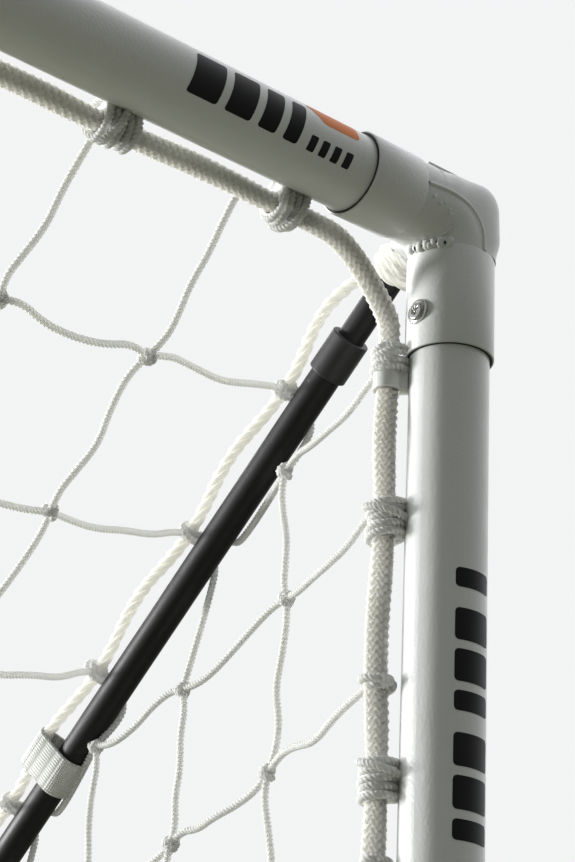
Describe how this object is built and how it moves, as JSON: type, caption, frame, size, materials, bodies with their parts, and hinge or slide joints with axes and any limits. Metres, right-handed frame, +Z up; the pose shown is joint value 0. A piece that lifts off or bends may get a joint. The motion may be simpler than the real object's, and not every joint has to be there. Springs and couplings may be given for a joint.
{
  "type": "soccer goal frame",
  "caption": "Portable steel soccer goal: round mouth frame with corner elbows, sloping back stays, ground frame and a clipped knotted net.",
  "frame": {"origin": "on the ground, in the middle of the goal's width and depth", "axes": "+X along the crossbar to the right seen from the field, +Y from the mouth to the back, +Z up"},
  "size_m": [1.83, 1.51, 1.22],
  "materials": {
    "white_powder_coat": "satin white powder coat with a fine orange-peel texture",
    "black_powder_coat": "matt black powder coat",
    "zinc_steel": "zinc plated",
    "screw_chrome": "bright nickel plated",
    "net_clip": "moulded white nylon",
    "black_collar": "moulded black nylon",
    "rubber_foot": "black rubber",
    "braided_rope": "white braided polyester rope",
    "net_cord": "white laid and braided polyethylene cord",
    "net_band": "white woven webbing"
  },
  "bodies": {
    "frame": {"crossbar_left": "white_powder_coat", "crossbar_right": "white_powder_coat", "crossbar_joiner": "zinc_steel", "crossbar_leaf": "zinc_steel", "crossbar_clips": "net_clip", "rear_bar_left": "black_powder_coat", "rear_bar_right": "black_powder_coat", "rear_bar_joiner": "zinc_steel", "rear_bar_leaf": "zinc_steel", "corner_screws": "screw_chrome", "corner_nuts": "zinc_steel", "ground_screws": "screw_chrome", "front_feet": "rubber_foot", "rear_feet": "rubber_foot", "stay_bolts": "screw_chrome", "stay_nuts": "zinc_steel", "mouth_rope": "braided_rope", "base_rope": "braided_rope", "net_rear": "net_cord", "post_left": "white_powder_coat", "top_elbow_left": "white_powder_coat", "base_elbow_left": "white_powder_coat", "post_clips_left": "net_clip", "side_clips_left": "net_clip", "rear_clips_left": "net_clip", "side_bar_left": "black_powder_coat", "rear_elbow_left": "black_powder_coat", "stay_stub_left": "black_powder_coat", "stay_tube_left": "black_powder_coat", "stay_foot_left": "black_powder_coat", "stay_collar_left": "black_collar", "side_leaf_left": "zinc_steel", "stay_leaf_left": "zinc_steel", "stay_rope_left": "braided_rope", "stay_bands_left": "net_band", "net_left": "net_cord", "post_right": "white_powder_coat", "top_elbow_right": "white_powder_coat", "base_elbow_right": "white_powder_coat", "post_clips_right": "net_clip", "side_clips_right": "net_clip", "rear_clips_right": "net_clip", "side_bar_right": "black_powder_coat", "rear_elbow_right": "black_powder_coat", "stay_stub_right": "black_powder_coat", "stay_tube_right": "black_powder_coat", "stay_foot_right": "black_powder_coat", "stay_collar_right": "black_collar", "side_leaf_right": "zinc_steel", "stay_leaf_right": "zinc_steel", "stay_rope_right": "braided_rope", "stay_bands_right": "net_band", "net_right": "net_cord"},
    "crossbar_button": {"crossbar_button": "zinc_steel"},
    "rear_bar_button": {"rear_bar_button": "zinc_steel"},
    "side_button_left": {"side_button_left": "zinc_steel"},
    "stay_button_left": {"stay_button_left": "zinc_steel"},
    "side_button_right": {"side_button_right": "zinc_steel"},
    "stay_button_right": {"stay_button_right": "zinc_steel"}
  },
  "joints": [
    {"name": "crossbar_button_press", "type": "slide", "parent": "frame", "child": "crossbar_button", "axis": [0, -1, 0], "range_m": [0, 0.003], "stiffness_N_per_m": 900, "springref_m": -0.002, "deforming": ["crossbar_leaf"]},
    {"name": "rear_bar_button_press", "type": "slide", "parent": "frame", "child": "rear_bar_button", "axis": [0, 0, -1], "range_m": [0, 0.003], "stiffness_N_per_m": 900, "springref_m": -0.002, "deforming": ["rear_bar_leaf"]},
    {"name": "side_button_left_press", "type": "slide", "parent": "frame", "child": "side_button_left", "axis": [1, 0, 0], "range_m": [0, 0.0031], "stiffness_N_per_m": 900, "springref_m": -0.002, "deforming": ["side_leaf_left"]},
    {"name": "stay_button_left_press", "type": "slide", "parent": "frame", "child": "stay_button_left", "axis": [1, 0, 0], "range_m": [0, 0.005], "stiffness_N_per_m": 900, "springref_m": -0.002, "deforming": ["stay_leaf_left"]},
    {"name": "side_button_right_press", "type": "slide", "parent": "frame", "child": "side_button_right", "axis": [-1, 0, 0], "range_m": [0, 0.0031], "stiffness_N_per_m": 900, "springref_m": -0.002, "deforming": ["side_leaf_right"]},
    {"name": "stay_button_right_press", "type": "slide", "parent": "frame", "child": "stay_button_right", "axis": [-1, 0, 0], "range_m": [0, 0.005], "stiffness_N_per_m": 900, "springref_m": -0.002, "deforming": ["stay_leaf_right"]}
  ]
}
